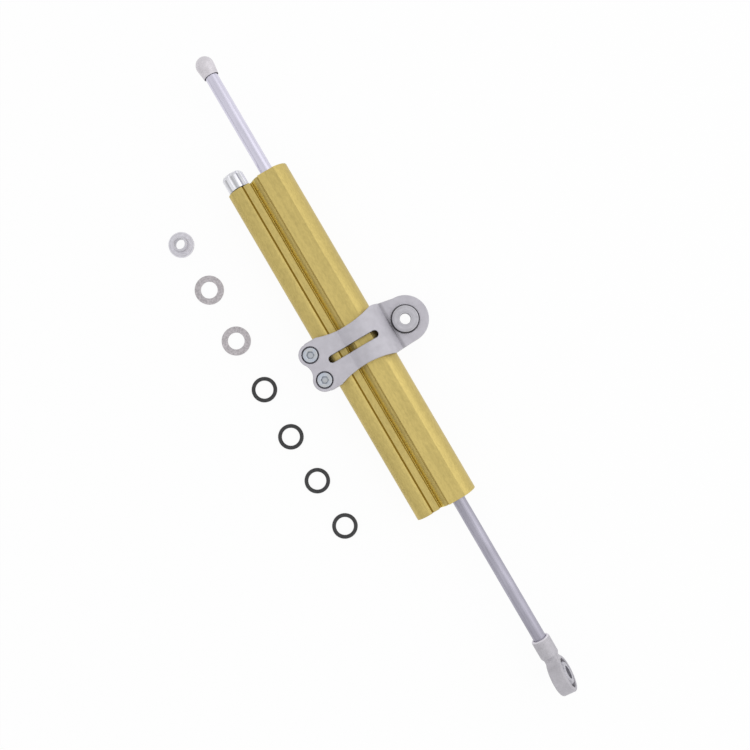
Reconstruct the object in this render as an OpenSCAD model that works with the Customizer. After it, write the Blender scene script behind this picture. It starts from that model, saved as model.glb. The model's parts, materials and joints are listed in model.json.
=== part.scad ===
// Motorcycle steering damper with a through rod, a screw-set needle valve and a sliding clamp.
// X runs along the rod from the ball cap to the eye, Y runs towards the clamp's ear, Z is up.
// The origin is the centre of the rod end's ball. All sizes are in millimetres.

/* [Rod] */
// Diameter of the piston rod
rod_d = 8; // [6:0.1:9]
// Distance from the eye's centre to the barrel's front face
front_reach = 123.5; // [118:0.5:180]
// Rod that shows between the barrel's rear face and the ball cap
rear_reach = 67.5; // [62:0.5:120]
// Largest diameter of the ball cap
cap_d = 11.3; // [10.4:0.1:16]
// Length of the ball cap
cap_len = 13; // [11:0.5:20]
// Diameter of the ball cap's rim
cap_rim_d = 9.5; // [9.2:0.1:10.4]
// Depth of the rod's socket in the ball cap
cap_socket = 9; // [4:0.5:9.5]

/* [Barrel] */
// Length of the barrel
barrel_len = 223; // [221:1:300]
// Outside diameter of the cylinder tube
tube_d = 24.4; // [23.6:0.1:30]
// Bore of the cylinder
bore_d = 19; // [17.5:0.1:20]
// Depth of the long flat below the tube's top
flat_drop = 0.8; // [0.4:0.1:1]
// Reach of the flat from the rod axis towards the valve tube
flat_w = 6.4; // [5.5:0.1:9]
// Width of the groove along the flat's edge
step_w = 0.8; // [0.3:0.1:1.2]
// Depth of the groove along the flat's edge
step_depth = 0.6; // [0.4:0.1:1.6]
// Outside diameter of the valve tube
valve_d = 15.6; // [14.6:0.1:18]
// Bore of the valve tube
valve_bore = 10; // [9.6:0.1:11]
// Distance between the axes of the two tubes
tube_pitch = 19.4; // [18:0.1:24]
// Height of the web between the tubes
web_h = 8; // [3:0.5:10]
// Depth of the ledge beside the web below the valve tube's top
ledge_drop = 1.4; // [0.6:0.1:1.6]
// Width of the fine line between the valve tube and its ledge
line_w = 0.7; // [0.4:0.1:1.5]
// Depth of the fine line below the ledge
line_depth = 0.5; // [0.2:0.1:0.6]
// Distance of the fine line from the valve tube's axis
line_y = 2.3; // [1:0.1:4]
// Diameter of the two oil ports between the bores
port_d = 2; // [1:0.1:2.4]

/* [Heads] */
// Depth from a barrel face to the inner end of its head
head_depth = 26; // [25:0.5:27]
// Depth of a circlip below the barrel face
clip_recess = 1; // [0.5:0.1:2]
// Thickness of a circlip
clip_t = 1.2; // [0.8:0.1:1.5]
// Depth of a circlip's groove in the bore
clip_groove = 0.8; // [0.5:0.1:1]
// Radial width of a circlip
clip_w = 2.4; // [1.6:0.1:2.6]
// Radial width of a rod wiper
wiper_w = 2.8; // [2:0.1:3]
// Length of a rod wiper's pocket
wiper_len = 3.6; // [2.5:0.1:4]
// Radial width of a rod seal
seal_w = 2.6; // [2:0.1:3]
// Length of a rod seal's pocket
seal_len = 4.4; // [3:0.1:5]
// Wall of a guide bush
bush_wall = 1.2; // [0.8:0.1:1.6]
// Length of a guide bush
bush_len = 11; // [8:0.5:12]
// Shoulder between the pockets of a head
head_land = 1.8; // [1.2:0.1:2]

/* [Piston] */
// Length of the piston
piston_len = 16; // [12:0.5:16.5]
// Distance of the piston from the barrel's middle towards the eye
piston_rest = 15; // [-15:0.5:15]
// Width of the piston's band
band_w = 8; // [5:0.5:9]
// Thickness of the piston's band
band_t = 1.2; // [0.8:0.1:2]
// Depth of a piston clip's groove in the rod
rod_groove = 0.6; // [0.4:0.1:0.8]
// Radial width of a piston clip
piston_clip_w = 2; // [1.4:0.1:2.4]
// Thickness of a piston clip
piston_clip_t = 0.9; // [0.6:0.1:1]

/* [Rod end] */
// Outside diameter of the eye
eye_d = 22.6; // [21.6:0.2:30]
// Thickness of the eye
eye_t = 9.2; // [7.6:0.2:10]
// Angle of the eye's bore from upright, turned about the rod
eye_turn = 75; // [0:1:90]
// Outside diameter of the eye's race
eye_race_d = 18; // [17.4:0.1:19]
// Diameter of the eye's ball
eye_ball_d = 15.9; // [15.2:0.1:16.4]
// Width of the eye's ball
eye_ball_w = 9.6; // [9:0.1:12.6]
// Bore of the eye's ball
eye_bore_d = 8; // [6:0.1:8.6]
// Distance from the eye's centre to the collar's face
collar_reach = 26; // [22:0.5:32]
// Diameter of the collar
collar_d = 11.6; // [11:0.1:13]
// Length of the collar
collar_len = 11.5; // [8:0.5:12]
// Diameter of the neck between collar and eye
neck_d = 9.2; // [9:0.1:11]
// Radius of the hollow between neck and eye
eye_fillet = 6; // [2:0.5:7]
// Depth of the rod's socket in the collar
collar_socket = 11; // [6:0.5:12]

/* [Adjuster] */
// Diameter of the knob over its lobes
knob_d = 13.4; // [12:0.1:15]
// Length of the knob
knob_len = 10.5; // [9:0.5:14]
// Lobes round the knob
knob_lobes = 8; // [5:1:12]
// Diameter of a flute between two lobes
flute_d = 3.6; // [1.8:0.1:4]
// Depth of a flute
flute_depth = 1; // [0.5:0.1:1.2]
// Gap between the knob and the barrel
knob_gap = 0.6; // [0.4:0.1:1]
// Clicks in one turn of the knob
clicks = 18; // [12:1:24]
// Diameter of the spindle
spindle_d = 5; // [4.6:0.1:5.2]
// Length of the gland
gland_len = 13.6; // [11:0.2:14]
// Diameter of the detent's ball
detent_d = 1.6; // [1.2:0.1:1.6]
// Diameter of the needle
needle_d = 3; // [2.4:0.1:3.2]
// Length of the needle's taper
taper_len = 6; // [4:0.5:8]
// Depth of the needle's seat from the barrel's rear face
seat_depth = 38; // [36:0.5:60]
// Length of the needle's seat
seat_len = 8; // [4:0.5:12]
// Orifice of the needle's seat
orifice_d = 2.2; // [2.1:0.1:2.6]

/* [Reservoir] */
// Length of the plug in the valve tube
plug_len = 7; // [5.5:0.5:8]
// Depth of the plug below the barrel's front face
plug_recess = 1.5; // [0.5:0.1:2]
// Length of the spring at rest
spring_len = 8.5; // [7:0.5:9]
// Wire of the spring
spring_wire = 0.8; // [0.5:0.1:1]
// Length of the separator
separator_len = 6; // [4:0.5:6]

/* [Clamp] */
// Distance of the clamp from the barrel's middle towards the eye
clamp_rest = 3.3; // [-60:0.1:60]
// Width of the clamp over its shoulders
clamp_w = 31.4; // [29:0.2:40]
// Width of the clamp at its waist
waist_w = 25; // [22:0.2:28]
// Radius of the waist's sides
waist_r = 54; // [45:1:80]
// Distance of the waist from the rod axis towards the lugs
waist_y = 6.5; // [4:0.5:10]
// Wall of the clamp over the cylinder tube
arch_wall = 5.8; // [3:0.1:6.5]
// Wall of the clamp over the valve tube
plate_wall = 5.5; // [2.4:0.1:6]
// Clearance of the clamp round the barrel
clamp_gap = 0.15; // [0.1:0.01:0.25]
// Gap between the lugs of the two halves
lug_gap = 0.8; // [0.4:0.1:1.5]
// Width of the slot in the upper half
slot_w = 4.4; // [3:0.1:6]
// Reach of the slot past the rod axis towards the ear
slot_front = 8.4; // [6:0.1:9]
// Reach of the slot past the valve tube's axis towards the lugs
slot_back = 5.2; // [3:0.1:5.5]
// Distance between the two clamp screws
bolt_pitch = 16.8; // [16:0.1:20]
// Distance of the screws from the valve tube's side
bolt_inset = 5.2; // [4.6:0.1:8]
// Radius of a lug round its screw
lug_r = 6.9; // [6.6:0.1:8]
// Depth of the notch between the lugs, from their ends
notch_depth = 2.6; // [1.5:0.1:3]
// Diameter of a clamp screw
bolt_d = 5; // [4.5:0.1:5]
// Diameter of a clamp screw's head
bolt_head_d = 8.8; // [8:0.1:9]
// Height of a clamp screw's head
bolt_head_h = 5; // [3.5:0.1:5.4]
// Diameter of the counterbore round a screw's head
counterbore_d = 10.3; // [9.4:0.1:10.6]
// Hexagon across flats in a screw's head
hex_af = 4; // [3:0.1:4.4]

/* [Ear] */
// Distance of the ear's hole from the side of the clamp's arch
ear_inset = 8.6; // [8.5:0.1:20]
// Offset of the ear's hole from the clamp's middle, towards the eye
ear_shift = 1; // [-1.5:0.1:1.5]
// Outside radius of the ear
ear_r = 14.2; // [12.6:0.1:15]
// Thickness of the ear, over both halves
ear_t = 8.4; // [8:0.1:9]
// Fillet where the clamp's arch meets the ear
ear_fillet = 0.5; // [0.3:0.1:1.5]
// Fillet where the clamp's arch meets the plate over the valve tube
valley_fillet = 2; // [1:0.1:5]
// Diameter of the ear's opening
ear_open_d = 16.9; // [16.6:0.1:17.6]
// Outside diameter of the ear's race
ear_race_d = 19; // [18.4:0.1:20]
// Height of the ear's race
ear_race_h = 6; // [5:0.1:6.4]
// Diameter of the ear's ball
ear_ball_d = 14.4; // [13.8:0.1:14.8]
// Width of the ear's ball
ear_ball_w = 10; // [9.6:0.1:10.4]
// Height of the bearing's seals
seal_h = 0.8; // [0.5:0.1:0.9]

/* [Bushes, washers and O-rings] */
// Distance of the row of loose pieces from the rod axis
kit_row = 68.5; // [60:0.5:100]
// Diameter of a bush's flange
flange_d = 15.8; // [14:0.1:16.2]
// Thickness of a bush's flange
flange_t = 1.8; // [1.2:0.1:3]
// Diameter of the shoulder under a flange
shoulder_d = 11; // [9.6:0.1:12]
// Height of the shoulder under a flange
shoulder_h = 0.8; // [0.7:0.1:1.5]
// Outside diameter of a bush's tube
bush_d = 8.8; // [7.6:0.1:9]
// Length of a bush's tube
bush_tube = 4.7; // [3:0.1:8]
// Hole through a bush
bush_hole = 6.6; // [5:0.1:7]
// Outside diameter of a washer
washer_d = 17.9; // [14:0.1:20]
// Hole of a washer
washer_hole = 10.4; // [8:0.1:11]
// Thickness of a washer
washer_t = 1.5; // [1:0.1:2.5]
// Inside diameter of a loose O-ring
ring_id = 11; // [9:0.1:13]
// Section of a loose O-ring
ring_wire = 2.4; // [1.5:0.1:2.6]

/* [Hidden] */
$fn = 64;
// Clearance of a piece that sits fixed in its seat, and of a running fit, on the radius
fit_gap = 0.02;
run_gap = 0.03;
// Clearance of the heads' bore round the rod, and of the piston's lands in the cylinder, on the radius
land_gap = 0.25;
// Smallest overlap with which a cut runs past the face that it opens
past = 1;
// Depth by which a blend runs into the shapes that it joins
bite = 0.05;
// Room of an O-ring in its groove: under it, on each side and out to the groove's rim
ring_under = 0.1;
ring_side = 0.2;
ring_out = 0.05;

rod_r = rod_d / 2;
bore_r = bore_d / 2;
tube_r = tube_d / 2;
valve_r = valve_d / 2;
valve_bore_r = valve_bore / 2;
flat_h = tube_r - flat_drop;
step_floor = sqrt(tube_r * tube_r - pow(flat_w + step_w, 2)) - step_depth;
ledge_h = valve_r - ledge_drop;
ledge_gap = 0.3;
ledge_y = tube_r + ledge_gap;
line_start = line_y - line_w / 2 - tube_pitch;
rear_face = -front_reach - barrel_len;
barrel_mid = -front_reach - barrel_len / 2;
cap_rim = rear_face - rear_reach;

// Stations along a head, counted inwards from the barrel's face
clip_end = clip_recess + clip_t;
wiper_end = clip_end + wiper_len;
seal_start = wiper_end + head_land;
seal_end = seal_start + seal_len;
bush_start = head_depth - bush_len;
head_r = bore_r - fit_gap;
head_ring_wire = 1.5;
head_ring_at = bush_start + bush_len / 2;
port_margin = 0.25;
port_at = head_depth + port_margin + port_d / 2;
clip_open = 4;

piston_x = barrel_mid + piston_rest;
piston_clip_gap = 0.05;
piston_clip_open = 3;
cap_mouth_w = 0.5;
cap_mouth_depth = 0.8;
race_sink = 1.8;

// Stations along the valve tube, counted inwards from the barrel's rear face
gland_recess = 0.4;
gland_end = gland_recess + gland_len;
gland_ring_wire = 1.4;
gland_ring_inset = 3;
gland_ring_at = gland_end - gland_ring_inset;
spindle_collar = 2;
spindle_collar_w = 1.1;
spindle_tail = 10;
spindle_end = gland_end + spindle_tail;
spindle_socket = 8;
spindle_grip = 7;
detent_at = (spindle_d / 2 + valve_bore_r) / 2;
detent_hole = 4.4;
detent_room = 0.05;
detent_wire = 0.25;
detent_turns = 5;
hollow_d = 1.1 * detent_d;
hollow_depth = 0.3;
needle_gap = 1;
needle_tip_r = 0.3;
taper_open = 0.5;
knob_round = 2.6;
// Turn of the knob's first flute from upright
knob_turn = -5.5;
knob_screw_d = 2.5;
knob_screw_head = 4.2;
knob_screw_head_h = 1.4;
knob_screw_len = 5;
knob_screw_hex = 1.7;
knob_screw_room = 0.15;
knob_seal_w = 1;
knob_seal_inset = 0.2;
// Wall of the knob between its screw's head and its spindle
knob_web = 1;

// Stations along the reservoir, counted inwards from the barrel's front face
plug_end = plug_recess + plug_len;
separator_at = plug_end + spring_len;
small_ring_wire = 1.4;
plug_hex = 5;
plug_hex_depth = 2;
spring_room = 0.6;
spring_turns = 4;

// The clamp in its own frame: the rod axis is at its origin
clamp_x = barrel_mid + clamp_rest;
arch_r = tube_r + arch_wall;
plate_h = valve_r + plate_wall;
bolt_y = tube_pitch + valve_r + bolt_inset;
lug_end = bolt_y + lug_r;
ear_y = arch_r + ear_inset;
ear_end = ear_y + ear_r;
ear_h = ear_t / 2;
shoulder_inset = 1.8;
shoulder_y = tube_r + shoulder_inset;
bolt_clear = 0.1;
bolt_sink = 0.4;
bolt_short = 1.5;
bolt_seat = plate_h - bolt_head_h - bolt_sink;
bolt_tip = plate_h - bolt_short;
hex_depth = 2.6;
// A circle that touches both lugs and reaches up to the notch
notch_y = lug_end - notch_depth;
notch_r = (pow(bolt_pitch / 2, 2) + pow(notch_y - bolt_y, 2) - lug_r * lug_r)
    / (2 * (lug_r - (notch_y - bolt_y)));
notch_mid = notch_y + notch_r;

flange_seat = ear_ball_w / 2 + shoulder_h;

// The table that the damper and its loose pieces lie on
floor_z = -arch_r;
// Places of the loose pieces along their row, from the barrel's middle, and off it, as laid out by hand
spare_bush_at = [-105.2, 0.5];
spare_washer_at = [[-72.6, 1.25], [-37.2, -0.25]];
spare_ring_at = [[-2.6, -0.35], [30.65, -0.95], [62.15, -0.55], [94.75, 0.05]];

gold = "#c4ad62";
satin = "#b8b6bd";
chrome = "#c9c7d2";
steel = "#aeb0b4";
cast = "#b7b5b8";
rubber = "#2b2b2d";
bronze = "#a9793f";
dark_steel = "#6c6e72";

// Frames: in each, local Z runs along the damper
module from_front() {
    translate([-front_reach, 0, 0]) rotate([0, -90, 0]) children();
}

module from_rear() {
    translate([rear_face, 0, 0]) rotate([0, 90, 0]) children();
}

module both_ends() {
    from_front() children();
    from_rear() children();
}

module valve_from_rear() {
    translate([0, -tube_pitch, 0]) from_rear() children();
}

module valve_from_front() {
    translate([0, -tube_pitch, 0]) from_front() children();
}

// Local Z points out of the valve tube's rear end
module knob_frame() {
    translate([rear_face, -tube_pitch, 0]) rotate([0, -90, 0]) children();
}

module piston_frame() {
    translate([piston_x, 0, 0]) rotate([0, 90, 0]) children();
}

module clamp_frame() {
    translate([clamp_x, 0, 0]) children();
}

module ear_frame() {
    translate([clamp_x + ear_shift, ear_y, 0]) children();
}

module eye_frame() {
    rotate([-eye_turn, 0, 0]) children();
}

// The hollow corner between a circle about the origin and a flat at a height, on the first axis's side
module round_blend(radius, height, fillet) {
    v = height + fillet - bite;
    u = sqrt(pow(radius + fillet - bite, 2) - v * v);
    inside = (radius - past) / (radius + fillet);
    difference() {
        polygon([[0, 0], [u, height - past], [u, v], [u * inside, v * inside]]);
        translate([u, v]) circle(r = fillet);
    }
}

// A section in the YZ plane drawn out along X over a length, about its middle
module along_x(length) {
    translate([-length / 2, 0, 0]) rotate([90, 0, 90]) linear_extrude(length) children();
}

// A washer-shaped solid between two heights
module ring(inner_r, outer_r, from_z, to_z) {
    translate([0, 0, from_z]) difference() {
        cylinder(r = outer_r, h = to_z - from_z);
        translate([0, 0, -past]) cylinder(r = inner_r, h = to_z - from_z + 2 * past);
    }
}

// A ring with a gap, as a circlip has
module open_ring(inner_r, outer_r, from_z, to_z, gap) {
    difference() {
        ring(inner_r, outer_r, from_z, to_z);
        translate([0, -gap / 2, from_z - past]) cube([outer_r + past, gap, to_z - from_z + 2 * past]);
    }
}

// An O-ring about Z, centred on a height
module o_ring(outer_r, wire, at_z) {
    translate([0, 0, at_z]) rotate_extrude() translate([outer_r - wire / 2, 0]) circle(d = wire);
}

// A round coil spring about Z, of hand-wound wire with a ring of points every fifteenth of a turn
coil_sides = 6;
coil_steps = 15;
function coil_point(mid_r, wire, length, turns, i, j) =
    let (
        last = turns * coil_steps,
        turn = 360 * i / coil_steps,
        side = 360 * j / coil_sides,
        r = mid_r + wire / 2 * cos(side)
    )
    [r * cos(turn), r * sin(turn), wire / 2 + (length - wire) * i / last + wire / 2 * sin(side)];

module coil(mid_r, wire, length, turns) {
    last = turns * coil_steps;
    points = [for (i = [0:last], j = [0:coil_sides - 1]) coil_point(mid_r, wire, length, turns, i, j)];
    sides = [
        for (i = [0:last - 1], j = [0:coil_sides - 1], half = [0, 1])
            let (
                a = i * coil_sides + j,
                b = i * coil_sides + (j + 1) % coil_sides
            )
            half == 0 ? [a, b, b + coil_sides] : [a, b + coil_sides, a + coil_sides]
    ];
    near_end = [for (j = [1:coil_sides - 2]) [0, j + 1, j]];
    far = last * coil_sides;
    far_end = [for (j = [1:coil_sides - 2]) [far, far + j, far + j + 1]];
    polyhedron(points = points, faces = concat(sides, near_end, far_end));
}

// The two tubes' outline in the YZ plane, grown by a clearance, with a web of a given half height
module barrel_outline(grow, web) {
    difference() {
        circle(r = tube_r + grow);
        for (side = [-1, 1]) {
            translate([-tube_d, side > 0 ? flat_h + grow : -flat_h - grow - tube_d])
                square([2 * tube_d, tube_d]);
        }
    }
    translate([-flat_w - grow, -flat_h - grow]) square([flat_w + grow, 2 * (flat_h + grow)]);
    translate([-tube_pitch, 0]) circle(r = valve_r + grow);
    translate([-tube_pitch, -web - grow]) square([tube_pitch, 2 * (web + grow)]);
}

module barrel() {
    color(gold) difference() {
        translate([barrel_mid, 0, 0]) along_x(barrel_len) difference() {
            union() {
                barrel_outline(0, web_h / 2);
                translate([-tube_pitch, -ledge_h]) square([tube_pitch - ledge_y, 2 * ledge_h]);
            }
            for (side = [0, 1]) {
                mirror([0, side]) {
                    translate([line_start, ledge_h]) square([-line_start - ledge_y, valve_r]);
                    translate([line_start, ledge_h - line_depth]) square([line_w, valve_r]);
                    translate([-flat_w - step_w, step_floor]) square([step_w, tube_r]);
                }
            }
        }
        from_rear() translate([0, 0, -past]) cylinder(r = bore_r, h = barrel_len + 2 * past);
        valve_from_rear() translate([0, 0, -past]) cylinder(r = valve_bore_r, h = barrel_len + 2 * past);
        both_ends() translate([0, 0, clip_recess]) cylinder(r = bore_r + clip_groove, h = clip_t);
        for (x = [rear_face + port_at, -front_reach - port_at]) {
            translate([x, 0, 0]) rotate([90, 0, 0]) cylinder(d = port_d, h = tube_pitch);
        }
    }
}

// One head, with pockets for its wiper, seal and bush, and a groove for its O-ring
module head() {
    bore = rod_r + land_gap;
    ring_floor = head_r - head_ring_wire - ring_under;
    ring_half = head_ring_wire / 2 + ring_side;
    color(steel) rotate_extrude() polygon([
        [rod_r + wiper_w, clip_end],
        [head_r, clip_end],
        [head_r, head_ring_at - ring_half],
        [ring_floor, head_ring_at - ring_half],
        [ring_floor, head_ring_at + ring_half],
        [head_r, head_ring_at + ring_half],
        [head_r, head_depth],
        [rod_r + bush_wall, head_depth],
        [rod_r + bush_wall, bush_start],
        [bore, bush_start],
        [bore, seal_end],
        [rod_r + seal_w, seal_end],
        [rod_r + seal_w, seal_start],
        [bore, seal_start],
        [bore, wiper_end],
        [rod_r + wiper_w, wiper_end]
    ]);
}

module front_head() {
    from_front() head();
}

module rear_head() {
    from_rear() head();
}

module guide_bushes() {
    color(bronze) both_ends()
        ring(rod_r + run_gap, rod_r + bush_wall - fit_gap, bush_start, head_depth);
}

// A lip seal: a ring with a groove in the face that the oil presses on
module rod_seals() {
    outer = rod_r + seal_w - fit_gap;
    inner = rod_r + run_gap;
    mid = (outer + inner) / 2;
    lip = (outer - inner) / 4;
    from_z = seal_start + fit_gap;
    to_z = seal_end - fit_gap;
    color(rubber) both_ends() rotate_extrude() polygon([
        [inner, from_z],
        [outer, from_z],
        [outer, to_z],
        [mid + lip, to_z],
        [mid, (from_z + to_z) / 2],
        [mid - lip, to_z],
        [inner, to_z]
    ]);
}

// A wiper: a ring with a thin lip that reaches out along the rod
module rod_wipers() {
    outer = rod_r + wiper_w - fit_gap;
    inner = rod_r + run_gap;
    lip = 0.7;
    color(rubber) both_ends() rotate_extrude() polygon([
        [inner, clip_recess],
        [inner + lip, clip_recess],
        [inner + 2 * lip, clip_end],
        [outer, clip_end],
        [outer, wiper_end - fit_gap],
        [inner, wiper_end - fit_gap]
    ]);
}

module head_o_rings() {
    color(rubber) both_ends() o_ring(head_r - ring_out, head_ring_wire, head_ring_at);
}

module head_circlips() {
    color(dark_steel) both_ends() open_ring(
        bore_r + clip_groove - clip_w, bore_r + clip_groove - fit_gap,
        clip_recess + fit_gap, clip_end - fit_gap, clip_open
    );
}

module piston() {
    land = bore_r - land_gap;
    floor_r = bore_r - run_gap - band_t - fit_gap;
    color(steel) piston_frame() rotate_extrude() polygon([
        [rod_r + run_gap, -piston_len / 2],
        [land, -piston_len / 2],
        [land, -band_w / 2],
        [floor_r, -band_w / 2],
        [floor_r, band_w / 2],
        [land, band_w / 2],
        [land, piston_len / 2],
        [rod_r + run_gap, piston_len / 2]
    ]);
}

module piston_band() {
    outer = bore_r - run_gap;
    color(bronze) piston_frame()
        ring(outer - band_t, outer, -band_w / 2 + fit_gap, band_w / 2 - fit_gap);
}

// Each clip's inner face, on both sides of the piston
module each_piston_clip() {
    piston_frame() for (side = [0, 1]) {
        mirror([0, 0, side]) translate([0, 0, piston_len / 2 + piston_clip_gap]) children();
    }
}

module piston_rod() {
    rear_end = cap_rim - cap_socket;
    front_end = -collar_reach + collar_socket;
    color(chrome) difference() {
        translate([rear_end, 0, 0]) rotate([0, 90, 0]) cylinder(r = rod_r, h = front_end - rear_end);
        each_piston_clip() ring(rod_r - rod_groove, rod_d, 0, piston_clip_t);
    }
}

module piston_clips() {
    inner = rod_r - rod_groove + fit_gap;
    color(dark_steel) each_piston_clip()
        open_ring(inner, inner + piston_clip_w, fit_gap, piston_clip_t - fit_gap, piston_clip_open);
}

// A ball with a tapered skirt, bored for the rod
module end_cap() {
    ball_mid = cap_len - cap_d / 2;
    color(cast) translate([cap_rim, 0, 0]) rotate([0, -90, 0]) difference() {
        union() {
            cylinder(d1 = cap_rim_d, d2 = cap_d, h = ball_mid);
            translate([0, 0, ball_mid]) sphere(d = cap_d);
        }
        translate([0, 0, -cap_d]) cylinder(d = 2 * cap_d, h = cap_d);
        translate([0, 0, -past]) cylinder(r = rod_r + fit_gap, h = cap_socket + past + fit_gap);
        cylinder(r1 = rod_r + cap_mouth_w, r2 = rod_r, h = cap_mouth_depth);
    }
}

module rod_end() {
    edge = 0.8;
    rim = 0.6;
    eye_r = eye_d / 2;
    collar_end = collar_reach - collar_len;
    neck_end = collar_end - (collar_d - neck_d);
    color(cast) difference() {
        union() {
            eye_frame() rotate_extrude() polygon([
                [0, -eye_t / 2],
                [eye_r - edge, -eye_t / 2],
                [eye_r, -eye_t / 2 + edge],
                [eye_r, eye_t / 2 - edge],
                [eye_r - edge, eye_t / 2],
                [0, eye_t / 2]
            ]);
            for (side = [0, 1]) {
                eye_frame() mirror([0, side, 0]) mirror([1, 0, 0])
                    linear_extrude(eye_t - 2 * edge, center = true)
                        round_blend(eye_r, neck_d / 2, eye_fillet);
            }
            rotate([0, -90, 0]) rotate_extrude() polygon([
                [0, 0],
                [neck_d / 2, 0],
                [neck_d / 2, neck_end],
                [collar_d / 2, collar_end],
                [collar_d / 2, collar_reach - rim],
                [collar_d / 2 - rim, collar_reach],
                [0, collar_reach]
            ]);
        }
        eye_frame() cylinder(d = eye_race_d + 2 * fit_gap, h = 2 * eye_d, center = true);
        translate([-collar_reach - past, 0, 0]) rotate([0, 90, 0])
            cylinder(r = rod_r + fit_gap, h = collar_socket + past + fit_gap);
    }
}

module rod_end_race() {
    color(bronze) eye_frame() difference() {
        cylinder(d = eye_race_d, h = eye_t - 2 * race_sink, center = true);
        sphere(d = eye_ball_d + 2 * run_gap);
    }
}

// A ball cut flat on both sides and bored through
module bored_ball(ball_d, width, bore) {
    difference() {
        intersection() {
            sphere(d = ball_d);
            cube([2 * ball_d, 2 * ball_d, width], center = true);
        }
        cylinder(d = bore, h = 2 * ball_d, center = true);
    }
}

module rod_end_ball() {
    color(chrome) eye_frame() bored_ball(eye_ball_d, eye_ball_w, eye_bore_d);
}

module adjuster_gland() {
    outer = valve_bore_r - fit_gap;
    ring_floor = outer - gland_ring_wire - ring_under;
    ring_half = gland_ring_wire / 2 + ring_side;
    color(steel) valve_from_rear() difference() {
        rotate_extrude() polygon([
            [spindle_d / 2 + run_gap, gland_recess],
            [outer, gland_recess],
            [outer, gland_ring_at - ring_half],
            [ring_floor, gland_ring_at - ring_half],
            [ring_floor, gland_ring_at + ring_half],
            [outer, gland_ring_at + ring_half],
            [outer, gland_end],
            [spindle_d / 2 + run_gap, gland_end]
        ]);
        translate([detent_at, 0, gland_recess - past])
            cylinder(r = detent_d / 2 + detent_room, h = detent_hole + past);
    }
}

module gland_o_ring() {
    color(rubber) valve_from_rear()
        o_ring(valve_bore_r - fit_gap - ring_out, gland_ring_wire, gland_ring_at);
}

// The spindle: a shaft with a collar behind the gland, a socket for the needle and a hole for the screw
module adjuster_spindle() {
    shaft_r = spindle_d / 2;
    socket_r = needle_d / 2 + run_gap;
    color(steel) valve_from_rear() difference() {
        union() {
            translate([0, 0, -knob_gap - spindle_grip])
                cylinder(r = shaft_r, h = knob_gap + spindle_grip + spindle_end);
            translate([0, 0, gland_end + run_gap])
                cylinder(r = shaft_r + spindle_collar_w, h = spindle_collar);
        }
        translate([0, 0, spindle_end - spindle_socket]) cylinder(r = socket_r, h = spindle_socket + past);
        translate([0, 0, -knob_gap - spindle_grip - past])
            cylinder(d = knob_screw_d + 2 * fit_gap, h = knob_screw_len + past);
    }
}

// A fluted knob with a rounded end and a ring of click hollows underneath
module adjuster_knob() {
    knob_r = knob_d / 2;
    top = knob_gap + knob_len;
    hollow_at = knob_gap + hollow_depth - hollow_d / 2;
    color(steel) knob_frame() difference() {
        union() {
            translate([0, 0, knob_gap]) cylinder(r = knob_r, h = knob_len - knob_round);
            translate([0, 0, knob_gap]) cylinder(r = knob_r - knob_round, h = knob_len);
            translate([0, 0, top - knob_round]) rotate_extrude() intersection() {
                translate([knob_r - knob_round, 0]) circle(r = knob_round);
                square([knob_r, knob_round]);
            }
        }
        for (i = [0:knob_lobes - 1]) {
            rotate([0, 0, knob_turn + 360 * i / knob_lobes])
                translate([knob_r + flute_d / 2 - flute_depth, 0, knob_gap - past])
                    cylinder(d = flute_d, h = knob_len + 2 * past);
        }
        for (i = [0:clicks - 1]) {
            rotate([0, 0, 360 * i / clicks]) translate([detent_at, 0, hollow_at]) sphere(d = hollow_d);
        }
        translate([0, 0, knob_gap - past]) cylinder(r = spindle_d / 2 + fit_gap, h = spindle_grip + past);
        cylinder(d = knob_screw_d + 2 * fit_gap, h = top + past);
        translate([0, 0, knob_gap + spindle_grip + knob_web])
            cylinder(r = knob_screw_head / 2 + knob_screw_room, h = knob_len);
    }
}

module knob_screw() {
    seat = knob_gap + spindle_grip + knob_web;
    color(dark_steel) knob_frame() difference() {
        union() {
            translate([0, 0, seat - knob_screw_len + fit_gap])
                cylinder(d = knob_screw_d, h = knob_screw_len);
            translate([0, 0, seat + fit_gap]) cylinder(d = knob_screw_head, h = knob_screw_head_h);
        }
        translate([0, 0, seat + knob_screw_head_h / 2])
            cylinder(d = knob_screw_hex, h = knob_screw_head_h, $fn = 6);
    }
}

// A rubber ring that keeps dirt out of the gap under the knob
module knob_seal() {
    outer = knob_d / 2 - knob_seal_inset;
    color(rubber) knob_frame() ring(outer - knob_seal_w, outer, fit_gap, knob_gap - run_gap);
}

module detent_ball() {
    color(chrome) valve_from_rear()
        translate([detent_at, 0, detent_d / 2 - knob_gap + detent_room]) sphere(d = detent_d);
}

module detent_spring() {
    spring_top = detent_d - knob_gap + 2 * detent_room;
    spring_end = gland_recess + detent_hole - fit_gap;
    color(steel) valve_from_rear() translate([detent_at, 0, spring_top])
        coil((detent_d - detent_wire) / 2 - detent_room, detent_wire, spring_end - spring_top, detent_turns);
}

// The needle's shank runs from the spindle's socket to a taper that reaches into the seat
module needle() {
    tail = spindle_end - spindle_socket + needle_gap;
    tip = seat_depth + taper_len * taper_open;
    color(dark_steel) valve_from_rear() {
        translate([0, 0, tail]) cylinder(d = needle_d, h = tip - taper_len - tail);
        translate([0, 0, tip - taper_len]) cylinder(d1 = needle_d, d2 = 2 * needle_tip_r, h = taper_len);
    }
}

module needle_seat() {
    color(bronze) valve_from_rear()
        ring(orifice_d / 2, valve_bore_r - fit_gap, seat_depth, seat_depth + seat_len);
}

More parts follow.
